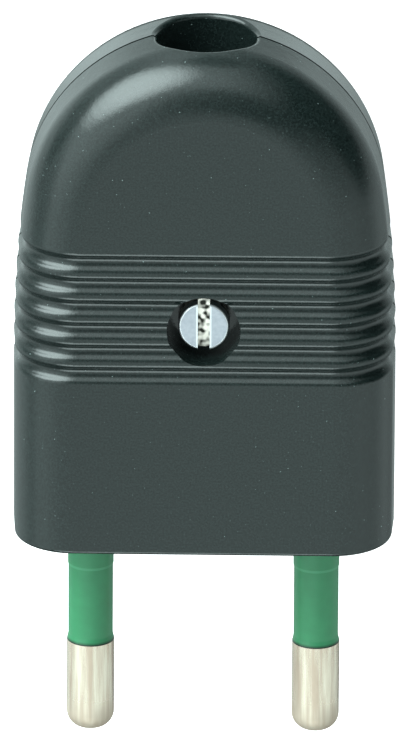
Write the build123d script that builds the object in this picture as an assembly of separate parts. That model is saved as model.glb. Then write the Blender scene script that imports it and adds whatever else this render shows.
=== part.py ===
from build123d import *
from math import atan2, cos, radians, sin, sqrt, tan
import os

# X runs across the pins, Y from the pins to the cable entry, Z from the rear face to the front face.
# Heights along Y are measured from the pin face until the pieces are placed at the end.

# Moulded body
body_length = 44.3  # from the pin face to the top of the crown
body_width = 32.0  # across the straight sides
body_depth = 16.0  # from the rear face to the front face
crown_narrowing = 0.9  # the crown arc is this much tighter than half the width
side_radius = 105.0  # long arcs that lead from the straight sides to the crown
edge_radius = 5.0  # rounding between the flanks and the flat faces
pin_edge_radius = 0.3  # rounding around the pin face
draft = 3.0  # degrees that the flanks lean in from the parting line
wall = 2.0
pin_wall = 5.0  # solid end that holds the pins
seam_height = 0.14  # each half is set back this far along the visible seam
seam_depth = 0.3

# Grip grooves around both halves, which make a soft wave
groove_count = 6
groove_pitch = 2.0
groove_depth = 0.415
groove_share = 0.33  # radius of a groove as a share of the pitch
lip_share = 0.24  # rounding of its two lips as a share of the pitch
groove_bend = 0.25  # the grooves bend this much wider around the edges than the surface does
grip_top = 26.32  # middle of the groove nearest to the cable entry

# Tongue of the rear half, which lies in a rebate of the front half
tongue_height = 0.8
tongue_thickness = 0.6
tongue_clearance = 0.1

# Pins with their insulating sleeves
pin_spacing = 19.0
pin_reach = 19.0  # from the pin face to the tips
pin_radius = 2.0
tip_round = 1.4
bare_length = 8.0  # metal left bare at the tip
stem_radius = 1.4  # metal under the sleeve
sleeve_radius = 1.88
sleeve_base_radius = 1.93  # thicker root of the sleeve
sleeve_base_length = 4.0  # of the root in front of the pin face
sleeve_clearance = 0.03
flare_length = 0.55  # the sleeve widens to the pin's radius at its outer end
collar_y = 1.9  # outer side of the collar
collar_radius = 3.1
collar_thickness = 1.5
neck_radius = 1.8
head_radius = 2.75  # terminal head behind the collar
head_length = 8.5
head_gap = 0.2  # between the terminal head and the solid end
wire_hole_radius = 1.3
wire_hole_depth = 6.0
seat_clearance = 0.08  # around the pin in its seat
collar_clearance = 0.1  # along the pin at both sides of the collar

# Cable entry and cord clamp
entry_radius = 4.135
entry_length = 4.5  # of the collar around the cable entry
entry_wall = 1.9
entry_lip_radius = 0.35
clamp_inset = 11.3  # from the top of the crown to the middle of the clamp
clamp_width = 4.6
clamp_thickness = 2.2
clamp_spacing = 16.0
clamp_end = 2.3  # from a clamp screw to the end of the bar
clamp_drop = 0.6  # the bar lies this far behind the parting plane
cord_radius = 3.1
arch_wall = 1.9
pillar_radius = 2.4
saddle_half_width = 4.8

# Screws and nut
screw_y = 20.25  # closing screw
recess_radius = 3.08
head_sunk = 1.2  # from the front face to the closing screw's head
screw_head_radius = 2.15
screw_head_height = 1.9
screw_radius = 1.5
screw_past_nut = 0.1
screw_slot_width = 1.0
screw_slot_depth = 1.0
screw_hole_clearance = 0.15
boss_radius = 4.6
partition_thickness = 1.5  # wall between the two terminals
nut_flats = 5.5
nut_thickness = 2.4
nut_sunk = 1.0  # from the rear face to the nut
nut_clearance = 0.05
small_screw_radius = 1.25  # terminal and clamp screws
small_head_radius = 2.1
small_head_height = 1.6
small_slot_width = 0.6
small_slot_depth = 0.7
small_hole_clearance = 0.05
terminal_screw_inset = 5.5  # from the start of the terminal head to its screw
terminal_tip = 0.9  # from the pin's axis to the end of the terminal screw
terminal_screw_length = 2.6
clamp_screw_length = 6.6
point_chamfer = 0.3  # at the end of each screw
head_edge = 0.25  # rounding of the screw heads

# Values that follow from the sizes above
half_width = body_width / 2
half_depth = body_depth / 2
crown_radius = half_width - crown_narrowing
crown_y = body_length - crown_radius
side_x = half_width - side_radius
side_y = crown_y - sqrt((side_radius - crown_radius) ** 2 - side_x**2)
groove_radius = groove_share * groove_pitch
groove_lift = groove_radius - groove_depth  # the groove's centre lies this far outside the surface
lip_distance = sqrt(groove_radius**2 - groove_lift**2)  # from the middle of a groove to its lips
pin_xs = (-pin_spacing / 2, pin_spacing / 2)
clamp_xs = (-clamp_spacing / 2, clamp_spacing / 2)
head_y = pin_wall + head_gap
terminal_y = head_y + terminal_screw_inset
clamp_y = body_length - clamp_inset
screw_seat = half_depth - head_sunk - screw_head_height
screw_length = half_depth + screw_seat - nut_sunk + screw_past_nut
nut_seat = half_depth - nut_sunk - nut_thickness
reach = 2 * (body_length + pin_reach)  # longer than the plug, for cutting blocks


def outline(inset, base_y):
    """Arch-shaped plan of the body, drawn in by inset and closed along base_y."""
    turn = atan2(crown_y - side_y, -side_x)
    side = side_radius - inset
    crown = crown_radius - inset
    low = (half_width - inset, base_y)
    start = (half_width - inset, side_y)
    middle = (side_x + side * cos(turn / 2), side_y + side * sin(turn / 2))
    end = (crown * cos(turn), crown_y + crown * sin(turn))
    right = Line(low, start) + ThreePointArc(start, middle, end)
    left = mirror(right, about=Plane.YZ)
    top = ThreePointArc(end, (0, body_length - inset), (-end[0], end[1]))
    base = Line((-low[0], base_y), low)
    return make_face(right.edges() + top.edges() + left.edges() + base.edges())


def half_form(inset):
    """One half of the body, from the parting plane at z = 0 outward, drawn in by inset on all sides."""
    form = extrude(outline(inset, -body_depth), amount=half_depth - inset, taper=draft)
    rim = form.edges().group_by(Axis.Z)[-1].sort_by(Axis.Y)[1:]
    return fillet(rim, edge_radius - inset)


def slab(low_y, high_y):
    """Block that spans the whole body between two heights along Y."""
    return Pos(0, low_y, 0) * Box(reach, high_y - low_y, reach, align=(Align.CENTER, Align.MIN, Align.CENTER))


def groove(y):
    """Round rod bent along the flanks and the flat face, that cuts one groove."""
    lean = tan(radians(draft))
    flank = half_width if y < side_y else side_x + sqrt(side_radius**2 - (y - side_y) ** 2)
    flank += groove_lift / cos(radians(draft))
    top = half_depth + groove_lift
    corner = (flank - top * lean, y, top)
    foot = (flank + groove_radius * lean, y, -groove_radius)
    mirrored = [(-x, y, z) for x, y, z in (foot, corner)]
    path = FilletPolyline(*mirrored, corner, foot, radius=edge_radius + groove_lift + groove_bend)
    return sweep(Plane(origin=path @ 0, z_dir=path % 0) * Circle(groove_radius), path=path)


def lips(shape, y):
    """Edges along both sides of the groove at y."""
    return [
        edge
        for edge in shape.edges()
        if abs(abs(edge.center().Y - y) - lip_distance) < lip_distance / 4
        and edge.bounding_box().size.Y < lip_distance / 2
        and edge.center().Z > seam_height
    ]


def gripped_half():
    """Outer form of one half, rounded around the pin face, with its grip grooves and their rounded lips."""
    body = half_form(0) & slab(0, reach)
    pin_face = body.faces().sort_by(Axis.Y)[0]
    body = fillet([edge for edge in pin_face.edges() if edge.center().Z > seam_height], pin_edge_radius)
    for number in range(groove_count):
        y = grip_top - number * groove_pitch
        body -= groove(y)
        body = fillet(lips(body, y), lip_share * groove_pitch)
    return body


def along_y(radius, low_y, high_y, x=0):
    """Cylinder along Y in the parting plane."""
    rod = Cylinder(radius, high_y - low_y, align=(Align.CENTER, Align.CENTER, Align.MIN))
    return Pos(x, low_y, 0) * Rot(-90, 0, 0) * rod


def upright(radius, low, high, x, y):
    """Cylinder along Z."""
    rod = Cylinder(radius, high - low, align=(Align.CENTER, Align.CENTER, Align.MIN))
    return Pos(x, y, low) * rod


def rim_band(outer_inset, inner_inset, height, end_gap):
    """Band on both sides of the parting plane along the arch, open at the pins and the cable entry."""
    band = outline(outer_inset, pin_wall + end_gap) - outline(inner_inset, 0)
    entry_width = 2 * (entry_radius + entry_wall + end_gap)
    entry = Pos(0, body_length, 0) * Box(entry_width, 2 * entry_length, reach)
    return extrude(band, amount=height, both=True) - entry


def shell_blank():
    """What both halves share: hollow body, pin seats, boss, partition and half of the cable entry."""
    outer = gripped_half()
    cavity = half_form(wall) & slab(pin_wall, reach)
    inside = upright(boss_radius, 0, half_depth - wall / 2, 0, screw_y)
    inside += along_y(entry_radius + entry_wall, body_length - entry_length, body_length)
    inside += Pos(0, screw_y / 2, 0) * Box(partition_thickness, screw_y, reach)
    shell = outer - (cavity - inside)
    shell -= along_y(entry_radius, body_length - 2 * entry_length, body_length + entry_length)
    mouth = [
        edge
        for edge in shell.edges()
        if edge.center().Y > body_length - wall and abs(edge.center().X) < entry_radius and edge.center().Z > 0.5
    ]
    shell = fillet(mouth, entry_lip_radius)
    for x in pin_xs:
        shell -= along_y(sleeve_base_radius + seat_clearance, -wall, collar_y, x)
        pocket_start = collar_y - collar_clearance
        pocket_end = collar_y + collar_thickness + collar_clearance
        shell -= along_y(collar_radius + seat_clearance, pocket_start, pocket_end, x)
        shell -= along_y(neck_radius + seat_clearance, collar_y, head_y, x)
    shell -= upright(screw_radius + screw_hole_clearance, 0, half_depth, 0, screw_y)
    seam = outline(-wall, -wall) - outline(seam_depth, seam_depth)
    return shell - extrude(seam, amount=seam_height)


def front_shell():
    """Front half: recess for the closing screw's head and rebate for the tongue."""
    shell = shell_blank()
    shell -= upright(recess_radius, screw_seat, body_depth, 0, screw_y)
    depth = tongue_height + tongue_clearance
    shell -= rim_band(wall - tongue_thickness - tongue_clearance, wall + tongue_clearance, depth, 0)
    return Pos(0, 0, half_depth) * shell


def rear_shell():
    """Rear half: nut pocket, tongue, cord saddle and pillars for the cord clamp."""
    shell = shell_blank()
    hexagon = RegularPolygon(nut_flats / 2 + nut_clearance, 6, major_radius=False)
    shell -= Pos(0, screw_y, nut_seat) * extrude(hexagon, amount=body_depth)
    shell += rim_band(wall - tongue_thickness, wall, tongue_height, tongue_clearance)
    depth = half_depth - wall / 2 - clamp_drop
    saddle = Box(2 * saddle_half_width, clamp_width, depth, align=(Align.CENTER, Align.CENTER, Align.MIN))
    shell += Pos(0, clamp_y, clamp_drop) * saddle
    shell -= along_y(cord_radius, clamp_y - clamp_width, clamp_y + clamp_width)
    for x in clamp_xs:
        shell += upright(pillar_radius, clamp_drop, half_depth - wall / 2, x, clamp_y)
        hole_end = clamp_drop - clamp_thickness + clamp_screw_length + point_chamfer
        shell -= upright(small_screw_radius + small_hole_clearance, 0, hole_end, x, clamp_y)
    return Pos(0, 0, half_depth) * mirror(shell, about=Plane.XY)


def pin(x):
    """Turned pin: rounded tip, thin stem for the sleeve, collar, neck and drilled terminal head."""
    tip_y = -pin_reach
    shape = fillet(along_y(pin_radius, tip_y, tip_y + bare_length, x).edges().sort_by(Axis.Y)[0], tip_round)
    shape += along_y(stem_radius, tip_y + tip_round, collar_y, x)
    shape += along_y(collar_radius, collar_y, collar_y + collar_thickness, x)
    shape += along_y(neck_radius, collar_y, head_y, x)
    shape += along_y(head_radius, head_y, head_y + head_length, x)
    shape -= along_y(wire_hole_radius, head_y + head_length - wire_hole_depth, head_y + head_length, x)
    shape -= upright(small_screw_radius + small_hole_clearance, 0, body_depth, x, terminal_y)
    return Pos(0, 0, half_depth) * shape


def sleeve(x):
    """Moulded sleeve from the collar to the bare tip, a little slimmer than the tip and flared to meet it."""
    end_y = bare_length - pin_reach
    shape = along_y(sleeve_radius, end_y, collar_y, x)
    shape += along_y(sleeve_base_radius, -sleeve_base_length, collar_y, x)
    flare = Cone(pin_radius, sleeve_radius, flare_length, align=(Align.CENTER, Align.CENTER, Align.MIN))
    shape += Pos(x, end_y, 0) * Rot(-90, 0, 0) * flare
    shape -= along_y(stem_radius + sleeve_clearance, end_y, collar_y, x)
    return Pos(0, 0, half_depth) * shape


def slotted_screw(radius, length, head, height, slot_width, slot_depth):
    """Slotted cheese-head screw, head up, with the underside of its head at the origin."""
    top = fillet(upright(head, 0, height, 0, 0).edges().sort_by(Axis.Z)[-1], head_edge)
    top -= Pos(0, 0, height) * Box(slot_width, reach, 2 * slot_depth)
    shank = chamfer(upright(radius, -length, height - slot_depth, 0, 0).edges().sort_by(Axis.Z)[0], point_chamfer)
    return top + shank


def small_screw(length):
    """Slotted screw of the terminals and of the cord clamp."""
    return slotted_screw(
        small_screw_radius, length, small_head_radius, small_head_height, small_slot_width, small_slot_depth
    )


def closing_screw():
    """Screw that holds the two halves together."""
    screw = slotted_screw(
        screw_radius, screw_length, screw_head_radius, screw_head_height, screw_slot_width, screw_slot_depth
    )
    return Pos(0, screw_y, half_depth + screw_seat) * screw


def closing_nut():
    """Hexagonal nut in the rear half."""
    nut = extrude(RegularPolygon(nut_flats / 2, 6, major_radius=False), amount=nut_thickness)
    nut -= upright(screw_radius + nut_clearance, 0, nut_thickness, 0, 0)
    return Pos(0, screw_y, nut_sunk) * nut


def terminal_screw(x):
    """Screw of a terminal, opened so that a wire can go in."""
    height = half_depth + terminal_tip + terminal_screw_length
    return Pos(x, terminal_y, height) * small_screw(terminal_screw_length)


def cord_clamp():
    """Arched bar that presses the cord on its saddle."""
    length = clamp_spacing + 2 * clamp_end
    bar = Pos(0, -clamp_drop) * Rectangle(length, clamp_thickness, align=(Align.CENTER, Align.MIN))
    arch = Circle(cord_radius + arch_wall)
    arch -= Pos(0, -clamp_drop) * Rectangle(length, length, align=(Align.CENTER, Align.MAX))
    profile = Plane.XZ * (bar + arch - Circle(cord_radius))
    shape = Pos(0, clamp_y, half_depth) * extrude(profile, amount=clamp_width / 2, both=True)
    for x in clamp_xs:
        shape -= upright(small_screw_radius + small_hole_clearance, 0, body_depth, x, clamp_y)
    return shape


def clamp_screw(x):
    """Screw that holds the cord clamp on its pillar."""
    return Pos(x, clamp_y, half_depth - clamp_drop + clamp_thickness) * small_screw(clamp_screw_length)


left, right = pin_xs
clamp_left, clamp_right = clamp_xs
nodes = {
    "front_shell": front_shell(),
    "rear_shell": rear_shell(),
    "closing_screw": closing_screw(),
    "closing_nut": closing_nut(),
    "pin_left": pin(left),
    "pin_right": pin(right),
    "sleeve_left": sleeve(left),
    "sleeve_right": sleeve(right),
    "terminal_screw_left": terminal_screw(left),
    "terminal_screw_right": terminal_screw(right),
    "cord_clamp": cord_clamp(),
    "clamp_screw_left": clamp_screw(clamp_left),
    "clamp_screw_right": clamp_screw(clamp_right),
}
# The origin lies under the middle of the finished plug
top_y = nodes["front_shell"].bounding_box().max.Y
placed = Pos(0, (pin_reach - top_y) / 2, 0)
os.makedirs("parts", exist_ok=True)
for name, shape in nodes.items():
    export_step(placed * shape, "parts/" + name + ".step")
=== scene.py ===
from math import cos, radians, sin

import bpy
from mathutils import Matrix, Vector


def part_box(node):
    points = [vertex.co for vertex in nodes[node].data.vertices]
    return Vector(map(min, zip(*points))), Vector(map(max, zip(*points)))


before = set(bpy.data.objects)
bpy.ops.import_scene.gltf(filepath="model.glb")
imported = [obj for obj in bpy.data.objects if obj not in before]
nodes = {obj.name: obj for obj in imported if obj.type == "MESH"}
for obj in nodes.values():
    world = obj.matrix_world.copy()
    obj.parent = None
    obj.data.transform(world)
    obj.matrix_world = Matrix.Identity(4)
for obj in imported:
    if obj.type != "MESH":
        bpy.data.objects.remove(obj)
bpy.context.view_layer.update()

# Rear shell: the rear half of the body, injection moulded in a dark slate-green thermoplastic.
# The nut and the pins lie in it, and the plug rests on its flat outer face.


def linear(code):
    """Turns an sRGB hex colour into the linear colour that Blender works with."""
    channels = [int(code[start:start + 2], 16) / 255 for start in (1, 3, 5)]
    return [c / 12.92 if c <= 0.04045 else ((c + 0.055) / 1.055) ** 2.4 for c in channels] + [1.0]


def add_node(material, kind, settings=(), links=()):
    """Adds a shader node, sets its options and sets or links its inputs."""
    tree = material.node_tree
    made = tree.nodes.new("ShaderNode" + kind)
    for name, value in dict(settings).items():
        setattr(made, name, value)
    for name, value in dict(links).items():
        if isinstance(value, bpy.types.NodeSocket):
            tree.links.new(value, made.inputs[name])
        else:
            made.inputs[name].default_value = value
    return made


def start_material(name, values):
    """Starts a material and sets the values that are the same all over its surface."""
    material = bpy.data.materials.new(name)
    material.use_nodes = True
    shader = material.node_tree.nodes["Principled BSDF"]
    for socket, value in values.items():
        shader.inputs[socket].default_value = value
    return material, shader


def set_stops(shade, stops):
    """Sets the stops of a colour ramp, each a position with its sRGB hex colour."""
    elements = shade.color_ramp.elements
    first, *between, last = stops.items()
    for element, (position, code) in zip(elements, (first, last)):
        element.position = position
        element.color = linear(code)
    for position, code in between:
        elements.new(position).color = linear(code)


def feed(shader, outputs):
    """Links patterns to the inputs of a material's shader."""
    for socket, output in outputs.items():
        shader.id_data.links.new(output, shader.inputs[socket])


def dress(piece, material):
    """Gives a piece from the frame its material."""
    piece.material_slots[0].material = material


mm = 0.001
ripple_width = 1.0 * mm
ripple_height = 0.02 * mm
grain_size = 0.16 * mm
# Thermoplastic from a polished mould: glossy, with a faint ripple that softens the edges of its reflections.
# Grains of pigment and dust mottle it, drawn coarser than they are so that they show.
thermoplastic, shader = start_material("glossy_thermoplastic", {"IOR": 1.5})
place = add_node(thermoplastic, "TexCoord").outputs["Object"]
ripple = add_node(
    thermoplastic,
    "TexNoise",
    links={"Vector": place, "Scale": 1 / ripple_width, "Detail": 5.0, "Roughness": 0.68},
).outputs["Fac"]
grain = add_node(thermoplastic, "TexNoise", links={"Vector": place, "Scale": 1 / grain_size, "Detail": 0.0})
shade = add_node(thermoplastic, "ValToRGB", links={"Fac": grain.outputs["Fac"]})
set_stops(shade, {0.3: "#0f1615", 0.7: "#1b2322", 0.86: "#1b2322", 0.9: "#7d8b8a"})
gloss = add_node(thermoplastic, "MapRange", links={"Value": ripple, "To Min": 0.04, "To Max": 0.10})
swell = add_node(thermoplastic, "Bump", links={"Height": ripple, "Strength": 1.0, "Distance": ripple_height})
feed(shader, {
    "Base Color": shade.outputs["Color"],
    "Roughness": gloss.outputs["Result"],
    "Normal": swell.outputs["Normal"],
})
dress(nodes["rear_shell"], thermoplastic)

# Closing nut: a hexagonal steel nut, pressed to shape and zinc plated.
# It sits in a pocket of the rear shell, and the closing screw pulls on it.
crystal_size = 0.6 * mm
# Bright zinc plating: cool grey and satin, with soft crystals drawn coarser than they are so that they show.
zinc, shader = start_material("zinc_plated_steel", {"Metallic": 1.0})
place = add_node(zinc, "TexCoord").outputs["Object"]
crystals = add_node(
    zinc,
    "TexNoise",
    links={"Vector": place, "Scale": 1 / crystal_size, "Detail": 3.0},
).outputs["Fac"]
shade = add_node(zinc, "ValToRGB", links={"Fac": crystals})
set_stops(shade, {0.0: "#a3a5af", 1.0: "#b9b9c3"})
gloss = add_node(zinc, "MapRange", links={"Value": crystals, "To Min": 0.28, "To Max": 0.4})
feed(shader, {"Base Color": shade.outputs["Color"], "Roughness": gloss.outputs["Result"]})
dress(nodes["closing_nut"], zinc)

# Pins: turned from drawn brass rod and nickel plated, with a rounded tip and a terminal head inside the body.
# Their collars lie in seats between the two shells.
colour_a, colour_b, colour_out = 6, 7, 2  # places of a Mix node's colour sockets
streak_width = 0.45 * mm
streak_squeeze = 0.06  # width of the streaks as a share of their length
turned_length = 2.85 * mm
pin_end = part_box("pin_left")[0].y
# Nickel on drawn rod: warm grey, with streaks along the pin, drawn coarser than they are so that they show.
# Small scratches make the plating hazy, so it isn't wholly metallic; the turned tip is rougher, and its
# colour is darker.
nickel, shader = start_material("nickel_plated_brass", {"Metallic": 0.75})
place = add_node(nickel, "TexCoord").outputs["Object"]
stretched = add_node(nickel, "Mapping", links={"Vector": place, "Scale": (1.0, streak_squeeze, 1.0)})
streaks = add_node(
    nickel,
    "TexNoise",
    links={"Vector": stretched.outputs["Vector"], "Scale": 1 / streak_width, "Detail": 3.0},
).outputs["Fac"]
shade = add_node(nickel, "ValToRGB", links={"Fac": streaks})
set_stops(shade, {0.38: "#c5b09e", 0.66: "#e4d7c5"})
gloss = add_node(nickel, "MapRange", links={"Value": streaks, "To Min": 0.34, "To Max": 0.2})
along = add_node(nickel, "SeparateXYZ", links={"Vector": place}).outputs["Y"]
tip_span = {"From Min": pin_end, "From Max": pin_end + turned_length}
turned = add_node(
    nickel,
    "MapRange",
    links={"Value": along, **tip_span, "To Min": 1.0, "To Max": 0.0},
).outputs["Result"]
# The colour is darker towards the end of the tip.
darker_tip = add_node(
    nickel,
    "Mix",
    settings={"data_type": "RGBA"},
    links={"Factor": turned, colour_a: shade.outputs["Color"], colour_b: linear("#b7a797")},
)
rougher = add_node(nickel, "Mix", links={"Factor": turned, "A": gloss.outputs["Result"], "B": 0.8})
feed(shader, {"Base Color": darker_tip.outputs[colour_out], "Roughness": rougher.outputs["Result"]})
dress(nodes["pin_left"], nickel)
dress(nodes["pin_right"], nickel)

# Sleeves: insulation of green polyamide, moulded on the stems of the pins.
# A faint pale line, a painted highlight, marks the step at the end of their thicker root, and the joint with
# the bare tip is dark.
cloud_size = 1.2 * mm
root_length = 4.0 * mm
root_step_highlight_width = 0.24 * mm
joint_start = 0.05 * mm
joint_width = 0.25 * mm
pin_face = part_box("rear_shell")[0].y
sleeve_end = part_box("sleeve_left")[0].y
# Moulded polyamide: satin and slightly see-through, so its shading is soft, with faint clouds of colour.
polyamide, shader = start_material("green_polyamide", {
    "IOR": 1.5,
    "Subsurface Weight": 0.2,
    "Subsurface Radius": (0.3 * mm, 0.8 * mm, 0.5 * mm),
})
place = add_node(polyamide, "TexCoord").outputs["Object"]
clouds = add_node(
    polyamide,
    "TexNoise",
    links={"Vector": place, "Scale": 1 / cloud_size, "Detail": 2.0},
).outputs["Fac"]
shade = add_node(polyamide, "ValToRGB", links={"Fac": clouds})
set_stops(shade, {0.0: "#267049", 1.0: "#2f8055"})
along = add_node(polyamide, "SeparateXYZ", links={"Vector": place}).outputs["Y"]
# Painted highlight: a pale band where the small step at the end of the root catches the light.
root_step_highlight = add_node(
    polyamide,
    "Math",
    settings={"operation": "COMPARE"},
    links={0: along, 1: pin_face - root_length, 2: root_step_highlight_width / 2},
).outputs["Value"]
joint_span = {
    "From Min": sleeve_end + joint_start,
    "From Max": sleeve_end + joint_start + joint_width,
}
joint = add_node(
    polyamide,
    "MapRange",
    links={"Value": along, **joint_span, "To Min": 1.0, "To Max": 0.0},
).outputs["Result"]
paler = add_node(
    polyamide,
    "Mix",
    settings={"data_type": "RGBA"},
    links={"Factor": root_step_highlight, colour_a: shade.outputs["Color"], colour_b: linear("#3d8860")},
).outputs[colour_out]
darker = add_node(
    polyamide,
    "Mix",
    settings={"data_type": "RGBA"},
    links={"Factor": joint, colour_a: paler, colour_b: linear("#08150e")},
).outputs[colour_out]
gloss = add_node(polyamide, "MapRange", links={"Value": clouds, "To Min": 0.3, "To Max": 0.4})
feed(shader, {"Base Color": darker, "Roughness": gloss.outputs["Result"]})
dress(nodes["sleeve_left"], polyamide)
dress(nodes["sleeve_right"], polyamide)

# Terminal screws: slotted steel screws, zinc plated as the nut is.
# They are screwed into the heads of the pins and clamp the wires there.
dress(nodes["terminal_screw_left"], zinc)
dress(nodes["terminal_screw_right"], zinc)

# Cord clamp: an arched bar of moulded thermoplastic, which presses the cord on its saddle in the rear shell.
# Two slotted steel screws, zinc plated as the nut is, hold it on its pillars.
clamp_grain = 0.4 * mm
# Thermoplastic from an unpolished mould: dull and near black, with a faint grain.
dull_plastic, shader = start_material("dull_thermoplastic", {"IOR": 1.5})
place = add_node(dull_plastic, "TexCoord").outputs["Object"]
grain = add_node(dull_plastic, "TexNoise", links={"Vector": place, "Scale": 1 / clamp_grain, "Detail": 2.0})
shade = add_node(dull_plastic, "ValToRGB", links={"Fac": grain.outputs["Fac"]})
set_stops(shade, {0.0: "#1b1c1c", 1.0: "#242626"})
feed(shader, {"Base Color": shade.outputs["Color"]})
dress(nodes["cord_clamp"], dull_plastic)
dress(nodes["clamp_screw_left"], zinc)
dress(nodes["clamp_screw_right"], zinc)

# Front shell: the front half of the body, moulded in the same thermoplastic as the rear half.
# It lies on the rear shell along the parting line and is held by the closing screw.
dress(nodes["front_shell"], thermoplastic)

# Closing screw: slotted steel screw with a flat zinc-plated head, sunk in the recess of the front shell.
# It goes through both shells into the nut.
spangle_size = 0.3 * mm
wear_size = 0.4 * mm
slot_width = 1.0 * mm
slot_depth = 1.0 * mm
worn_height = 0.05 * mm
worn_fade = 0.25 * mm
lip_width = 0.14 * mm
rim_width = 0.21 * mm
lowest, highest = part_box("closing_screw")
head_radius = (highest.x - lowest.x) / 2
head_centre = (0.0, (highest.y + lowest.y) / 2, 0.0)
slot_floor = highest.z - slot_depth
# Worn zinc plating: cool grey and satin, with the lips of the slot and the rim of the head rubbed bright and
# given a painted highlight.
# Screwdrivers have broken the plating on the floor of the slot into bright and dark spots.
# The spots and the crystals of the plating are drawn coarser than they are so that they show.
slotted, shader = start_material("worn_and_highlit_zinc_plated_steel", {"Metallic": 1.0, "Roughness": 0.34})
place = add_node(slotted, "TexCoord").outputs["Object"]
spangle = add_node(slotted, "TexNoise", links={"Vector": place, "Scale": 1 / spangle_size, "Detail": 3.0})
plating = add_node(slotted, "ValToRGB", links={"Fac": spangle.outputs["Fac"]})
set_stops(plating, {0.0: "#9da1ab", 1.0: "#c2c3ca"})
wear = add_node(slotted, "TexNoise", links={"Vector": place, "Scale": 1 / wear_size, "Detail": 0.0})
spots = add_node(slotted, "ValToRGB", links={"Fac": wear.outputs["Fac"]})
set_stops(spots, {0.34: "#2c2c28", 0.62: "#f6eee4"})
apart = add_node(slotted, "SeparateXYZ", links={"Vector": place}).outputs
floor_span = {
    "From Min": slot_floor + worn_height,
    "From Max": slot_floor + worn_height + worn_fade,
}
depth = add_node(
    slotted,
    "MapRange",
    links={"Value": apart["Z"], **floor_span, "To Min": 1.0, "To Max": 0.0},
).outputs["Result"]
aside = add_node(slotted, "Math", settings={"operation": "ABSOLUTE"}, links={0: apart["X"]})
lip = add_node(
    slotted,
    "Math",
    settings={"operation": "COMPARE"},
    links={0: aside.outputs["Value"], 1: (slot_width + lip_width) / 2, 2: lip_width / 2},
).outputs["Value"]
flat = add_node(slotted, "CombineXYZ", links={"X": apart["X"], "Y": apart["Y"]}).outputs["Vector"]
outward = add_node(
    slotted,
    "VectorMath",
    settings={"operation": "DISTANCE"},
    links={0: flat, 1: head_centre},
).outputs["Value"]
rim = add_node(
    slotted,
    "Math",
    settings={"operation": "GREATER_THAN"},
    links={0: outward, 1: head_radius - rim_width},
).outputs["Value"]
# Painted highlight: the lips of the slot and the rim of the head are drawn bright, partly worn and partly for
# the light on their edges.
rubbed_and_highlit = add_node(
    slotted,
    "Math",
    settings={"operation": "MAXIMUM"},
    links={0: lip, 1: rim},
).outputs["Value"]
# The pale colour mixed in here is that painted highlight on the lips and the rim.
head = add_node(
    slotted,
    "Mix",
    settings={"data_type": "RGBA"},
    links={"Factor": rubbed_and_highlit, colour_a: plating.outputs["Color"], colour_b: linear("#e6e7ea")},
).outputs[colour_out]
shade = add_node(
    slotted,
    "Mix",
    settings={"data_type": "RGBA"},
    links={"Factor": depth, colour_a: head, colour_b: spots.outputs["Color"]},
).outputs[colour_out]
feed(shader, {"Base Color": shade})
dress(nodes["closing_screw"], slotted)

# Floor: a plain white table top, lit so that it stays white up to the plug.
# The plug's gloss shows the soft light below instead of the table.
floor_width = 4.0
floor_gap = 0.02 * mm
bpy.ops.mesh.primitive_plane_add(size=floor_width, location=(0, 0, -floor_gap))
floor = bpy.context.object
floor.name = "floor"
# Matt white paint: it has no gloss, and a glow of its own hides its shadows.
white, shader = start_material("white_table", {
    "Base Color": linear("#e8e8e8"),
    "Roughness": 0.9,
    "Specular IOR Level": 0.0,
    "Emission Color": linear("#ffffff"),
    "Emission Strength": 0.9,
})
floor.data.materials.append(white)
floor.visible_glossy = False

# Light: a soft white studio, which glows on the side of the pins and on the left of the cable end.
# A soft box stands in each glow, the table shines from below, and dark patches lie between the lights.
studio = bpy.data.worlds.new("studio")
studio.use_nodes = True
gaze = add_node(studio, "TexCoord").outputs["Generated"]


def glow(azimuth, height, edge, middle, strength, way="SMOOTHSTEP"):
    """Light from a round patch of the studio, which fades from its middle to its edge.

    The patch lies azimuth degrees from +Y, clockwise from above, and height degrees above the floor.
    Edge and middle are cosines of the angle to it, and strength is its light in the middle.
    """
    turned, raised = radians(azimuth), radians(height)
    aim = (sin(turned) * cos(raised), cos(turned) * cos(raised), sin(raised))
    near = add_node(studio, "VectorMath", settings={"operation": "DOT_PRODUCT"}, links={0: gaze, 1: aim})
    limits = {"From Min": edge, "From Max": middle, "To Max": strength}
    patch = add_node(
        studio,
        "MapRange",
        settings={"interpolation_type": way},
        links={"Value": near.outputs["Value"], **limits},
    )
    return patch.outputs["Result"]


def brighten(light, *patch):
    """Adds the glow of one patch of the studio to a light."""
    both = add_node(studio, "Math", settings={"operation": "ADD"}, links={0: light, 1: glow(*patch)})
    return both.outputs["Value"]


def dim(light, *patch):
    """Dims a light in one patch of the studio, whose strength is the share taken away, from 0 to 1."""
    kept = add_node(studio, "Math", settings={"operation": "SUBTRACT"}, links={0: 1.0, 1: glow(*patch)})
    rest = add_node(
        studio,
        "Math",
        settings={"operation": "MULTIPLY"},
        links={0: light, 1: kept.outputs["Value"]},
    )
    return rest.outputs["Value"]


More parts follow.
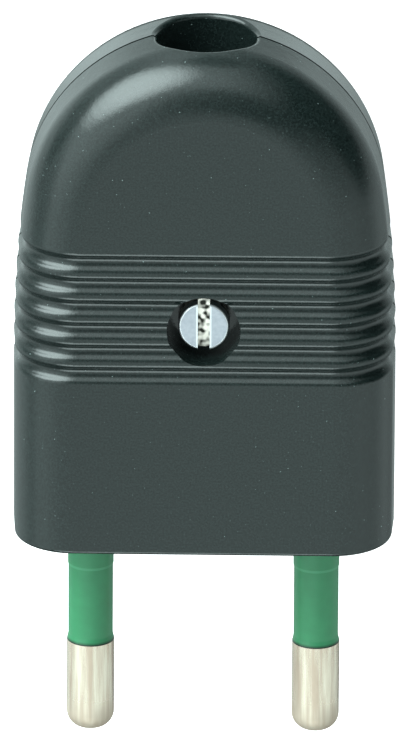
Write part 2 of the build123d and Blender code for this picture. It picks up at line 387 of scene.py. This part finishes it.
room = glow(180, 0, -0.6, 0.91, 1.85)  # wide glow on the side of the pins
room = brighten(room, -38, 15, 0.115, 1.0, 2.76)  # wide glow on the left of the cable end
room = dim(room, 15, 69, 0.86, 1.0, 0.6)  # round the camera
room = dim(room, 0, -90, -0.6, 0.05, 0.215)  # everything low down
room = brighten(room, -35.4, 15.8, 0.825, 1.0, 8.85)  # soft box on the left of the cable end
room = brighten(room, -170, 35, 0.92, 1.0, 5.0)  # soft box on the side of the pins
table = glow(-26, 16, -1.0, 1.0, 2.9, "LINEAR")  # brighter towards the first soft box
table = brighten(table, 0, -90, 0.88, 1.0, 0.5)  # straight below
table_share = glow(0, -90, 0.355, 1.0, 1.0)
light = add_node(studio, "Mix", links={"Factor": table_share, "A": room, "B": table}).outputs["Result"]
light = dim(light, 180, -19, 0.365, 0.944, 0.96)  # low on the side of the pins
light = dim(light, -72.5, -13.5, 0.926, 1.0, 0.56)  # lower than the first soft box and further left
light = dim(light, -92, -3, 0.88, 1.0, 0.45)  # on the left, level with the plug
light = dim(light, -48, -32, 0.89, 1.0, 0.4)  # below the first soft box
light = dim(light, 35, -44, 0.9, 1.0, 0.33)  # low on the right of the cable end
light = dim(light, 70, 0, 0.823, 1.0, 1.0)  # on the right, level with the plug
light = dim(light, 4, -11, 0.95, 1.0, 0.65)  # at the cable end, a little lower than the plug
light = dim(light, 180, -84, 0.945, 0.99, 0.85)  # almost straight below
light = dim(light, 0, -60, 0.85, 1.0, 0.42)  # low at the cable end
background = studio.node_tree.nodes["Background"]
background.inputs["Color"].default_value = linear("#e4f7f6")
studio.node_tree.links.new(light, background.inputs["Strength"])
bpy.context.scene.world = studio

# Camera: it looks down from the side of the cable end, which is up in the picture, with a long lens.
# The lens follows from the height of the picture at the plug and the distance of the eye.
picture_height = 62.13 * mm
eye_distance = 1.392
view_limit = 10.0
tilt = radians(22.586)
turn = radians(-0.741)
roll = radians(0.309)
aim = Vector((0.03 * mm, 0.9 * mm, 7.65 * mm))
forward = Vector((sin(turn) * cos(tilt), -sin(tilt), -cos(tilt) * cos(turn))).normalized()
level_up = (Vector((0, 1, 0)) - forward * forward.y).normalized()
level_right = forward.cross(level_up)
right = level_right * cos(roll) + level_up * sin(roll)
up = level_up * cos(roll) - level_right * sin(roll)
eye = aim - forward * eye_distance
camera = bpy.data.objects.new("camera", bpy.data.cameras.new("camera"))
camera.data.sensor_width = 36.0
camera.data.lens = camera.data.sensor_width * eye_distance / picture_height
camera.data.clip_end = view_limit
camera.matrix_world = Matrix.Translation(eye) @ Matrix((right, up, -forward)).transposed().to_4x4()
bpy.context.collection.objects.link(camera)
bpy.context.scene.camera = camera
bpy.context.scene.view_settings.view_transform = "Standard"
